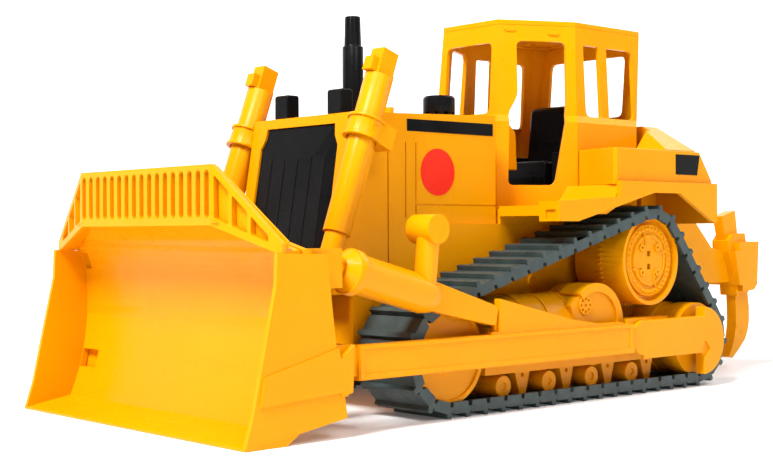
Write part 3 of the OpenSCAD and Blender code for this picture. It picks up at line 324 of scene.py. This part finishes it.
# Each round housing: flat outer face, raised rim, and a round boss full of small holes.
HOUSE_X, HOUSE_Z, HOUSE_R = -19.0, 40.0, 22.6
HOUSE_IN, HOUSE_Y = 68, 81.6
BOSS_X, BOSS_Z, BOSS_R = -10.0, 50.9, 5.3
BOSS_HOLES, BOSS_HOLES_AT = 8, 3.5


def make_housing_face(side_name, side):
    """The outer face of the round housing in one track frame."""
    mesh = bmesh.new()
    arc = [around(HOUSE_X, HOUSE_Z, HOUSE_R - 4.4, math.radians(75 + 5 * i)) for i in range(24)]
    front_edge = [(-2.0, 55.0), (1.5, 51.0), (-3.0, 39.0)]
    add_prism(mesh, front_edge + arc[::-1], HOUSE_IN, HOUSE_Y, side)
    rim = ring(HOUSE_R - 4.8, HOUSE_R, HOUSE_IN, HOUSE_Y + 1.4)
    add_turned(mesh, rim, HOUSE_X, HOUSE_Z, side, 40, 50, 142)
    holes = [circle(*around(BOSS_X, BOSS_Z, BOSS_HOLES_AT, 2 * math.pi * i / BOSS_HOLES), 0.8, 10)
             for i in range(BOSS_HOLES)]
    holes.append(circle(BOSS_X, BOSS_Z, 0.9, 12))
    add_plate(mesh, circle(BOSS_X, BOSS_Z, BOSS_R, 40), holes, HOUSE_Y - 0.1, HOUSE_Y + 0.9, side)
    piece("housing_face_" + side_name, mesh, "body", 0.3)


# Thin backs behind the guard's openings, which turn them into pockets.
GUARD_X, GUARD_LOW, GUARD_TOP, GUARD_HALF = 211.4, 95.6, 120.2, 56.5
WING_X, WING_Y, WING_LOW, WING_TOP = 202.6, 96.0, 83.6, 87.0


def make_guard_back():
    """The back of the guard's straight part."""
    mesh = bmesh.new()
    outline = [(-GUARD_HALF, GUARD_LOW), (GUARD_HALF, GUARD_LOW), (GUARD_HALF, GUARD_TOP),
               (-GUARD_HALF, GUARD_TOP)]
    add_slab(mesh, *[[(x, y, z) for y, z in outline] for x in (GUARD_X - 0.8, GUARD_X)])
    piece("guard_back", mesh, "blade", 0.1)


def make_guard_wing_back(side_name, side):
    """The back of one angled wing of the guard."""
    mesh = bmesh.new()
    outline = [(GUARD_X, GUARD_HALF, GUARD_LOW), (WING_X, WING_Y, WING_LOW), (WING_X, WING_Y, WING_TOP),
               (GUARD_X, GUARD_HALF, GUARD_TOP)]
    add_slab(mesh, outline, [(x - 0.9, y, z) for x, y, z in outline], side)
    piece("guard_wing_back_" + side_name, mesh, "blade", 0.1)


def make_arm_border(side_name, side):
    """A raised border round one push arm's outer face, which leaves its panel sunk."""
    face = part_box("push_arm_left")[1].y / MM
    mesh = bmesh.new()
    border, panel = box_outline(-36.6, 24.6, 160.2, 39.7), box_outline(-33.6, 27.2, 157.4, 38.0)
    add_plate(mesh, border, [panel], face - 0.2, face + 0.5, side)
    piece("arm_border_" + side_name, mesh, "blade", 0.25)


def make_dashboard_side():
    """The dashboard's side, seen through the left doorway."""
    mesh = bmesh.new()
    outline = [(-9.0, 126.0), (-9.0, 155.0), (-13.0, 154.6), (-21.0, 147.6), (-22.3, 126.0)]
    add_prism(mesh, outline, 2, 22)
    piece("dashboard_side", mesh, "body", 0.6)


# Two small rounded vents above each cab door, on its slanted face, as (place along it, height).
DOOR_START = Vector((-1.0, 25.5, 0))
DOOR_ALONG, DOOR_OUT = Vector((-0.886, 0.464, 0)), Vector((0.464, 0.886, 0))
DOOR_WAIST, WAIST_STEP, DOOR_LEAN, DOOR_RISE = 157, 1.81, 3.8, 51.5
VENTS = ((10.2, 206.0), (36.4, 204.5))
VENT_END_R, VENT_HALF, VENT_STEPS = 1.3, 2.2, 20


def make_door_vents(side_name, side):
    """The two vents above one cab door."""
    mesh = bmesh.new()
    for along, height in VENTS:
        inward = WAIST_STEP + DOOR_LEAN * (height - DOOR_WAIST) / DOOR_RISE
        middle = DOOR_START + DOOR_ALONG * along - DOOR_OUT * inward
        rims = []
        for depth in (-0.6, 0.7):
            rims.append([])
            for i in range(VENT_STEPS):
                a = 2 * math.pi * i / VENT_STEPS
                wide = VENT_HALF * math.copysign(1, math.cos(a)) + VENT_END_R * math.cos(a)
                rise = Vector((0, 0, height + VENT_END_R * math.sin(a)))
                rims[-1].append(middle + DOOR_ALONG * wide + DOOR_OUT * depth + rise)
        add_slab(mesh, *rims, side)
    piece("door_vents_" + side_name, mesh, "body", 0.3)


def make_blade_shelf(side_name, side):
    """The facet that carries the blade's face up to one end of its guard."""
    mesh = bmesh.new()
    top = [(213.6, 56.3, 95.2), (206.2, 95.6, 82.6), (194.6, 95.6, 83.4), (208.2, 56.3, 96.2)]
    add_slab(mesh, top, [(x, y, z - 1.6) for x, y, z in top], side)
    piece("blade_shelf_" + side_name, mesh, "blade", 0.3)


def each_side(make):
    """Makes a piece on the left and its mirror image on the right."""
    for side_name, side in SIDES:
        make(side_name, side)


each_side(make_hub_face)
each_side(make_housing_face)
make_guard_back()
each_side(make_guard_wing_back)
each_side(make_arm_border)
make_dashboard_side()
each_side(make_door_vents)
each_side(make_blade_shelf)


# ---- Floor, light and camera --------------------------------------------------------------

def make_floor():
    """A pale floor that curves up into a backdrop behind the toy and glows more with distance."""
    mesh = bmesh.new()
    half, back, bend, steps, height = 30.0, 2.2, 0.8, 12, 3.5
    line = [(-half, 0.0)] + [(back + bend * math.sin(a), bend * (1 - math.cos(a)))
                           for a in (math.radians(90 * i / steps) for i in range(steps + 1))]
    line.append((back + bend, height))
    turn = Matrix.Rotation(math.radians(228), 4, "Z")  # the backdrop stands along the camera's heading
    rows = [[mesh.verts.new(turn @ Vector((d, side, z - 0.0001))) for side in (-half, half)]
            for d, z in line]
    for a, b in zip(rows, rows[1:]):
        mesh.faces.new((a[0], a[1], b[1], b[0]))
    data = bpy.data.meshes.new("floor")
    mesh.normal_update()
    mesh.to_mesh(data)
    mesh.free()
    for face in data.polygons:
        face.use_smooth = True
    floor = bpy.data.objects.new("floor", data)
    bpy.context.scene.collection.objects.link(floor)
    material, tree, shader = new_material("floor_paper", 0.75, 0.0, 0.2)
    paper = ramp(tree, noise(tree, 3.0), (0.86, 0.86, 0.86), (0.9, 0.9, 0.9))
    tree.links.new(paper, shader.inputs["Base Color"])
    tree.links.new(paper, shader.inputs["Emission Color"])
    place = tree.nodes.new("ShaderNodeTexCoord")
    reach = tree.nodes.new("ShaderNodeVectorMath")
    reach.operation = "LENGTH"
    tree.links.new(place.outputs["Object"], reach.inputs[0])
    near, far, dim, bright = 0.45, 1.6, 0.08, 0.9  # the glow grows between these distances in metres
    glow = tree.nodes.new("ShaderNodeMapRange")
    glow.inputs["From Min"].default_value = near
    glow.inputs["From Max"].default_value = far
    glow.inputs["To Min"].default_value = dim
    glow.inputs["To Max"].default_value = bright
    tree.links.new(reach.outputs["Value"], glow.inputs["Value"])
    tree.links.new(glow.outputs["Result"], shader.inputs["Emission Strength"])
    floor.data.materials.append(material)


def area_light(name, place, target, size, power):
    """A soft square light at place, aimed at target."""
    data = bpy.data.lights.new(name, "AREA")
    data.size = size
    data.energy = power
    lamp = bpy.data.objects.new(name, data)
    lamp.location = place
    lamp.rotation_euler = (Vector(target) - Vector(place)).to_track_quat("-Z", "Y").to_euler()
    bpy.context.scene.collection.objects.link(lamp)


def make_world(level):
    """An even white surround of the given strength."""
    world = bpy.data.worlds.new("room")
    world.use_nodes = True
    world.node_tree.nodes["Background"].inputs["Color"].default_value = (1, 1, 1, 1)
    world.node_tree.nodes["Background"].inputs["Strength"].default_value = level
    bpy.context.scene.world = world


def make_camera():
    """A nearly level view from about the blade's height, ahead of the toy and to its left."""
    place = Vector((0.5542, 0.5483, 0.0906))
    heading = Vector((-0.6698, -0.7425, 0.0))
    down, roll = math.radians(0.10), math.radians(-0.23)
    aim = (heading * math.cos(down) - Vector((0, 0, math.sin(down)))).normalized()
    turn = aim.to_track_quat("-Z", "Y").to_matrix().to_4x4() @ Matrix.Rotation(roll, 4, "Z")
    data = bpy.data.cameras.new("camera")
    data.sensor_width = 36.0
    data.lens = 62.8
    data.clip_start = 0.01
    camera = bpy.data.objects.new("camera", data)
    camera.matrix_world = Matrix.Translation(place) @ turn
    bpy.context.scene.collection.objects.link(camera)
    bpy.context.scene.camera = camera


make_floor()
make_world(0.14)
area_light("key", (1.25, 0.3, 1.6), (0, 0, 0.05), 0.6, 70)
area_light("side", (0.25, 1.35, 1.35), (0, 0, 0.08), 0.8, 15)
area_light("back", (-1.2, 0.2, 1.2), (0, 0, 0.1), 0.9, 8)
make_camera()
bpy.context.scene.view_settings.view_transform = "Standard"
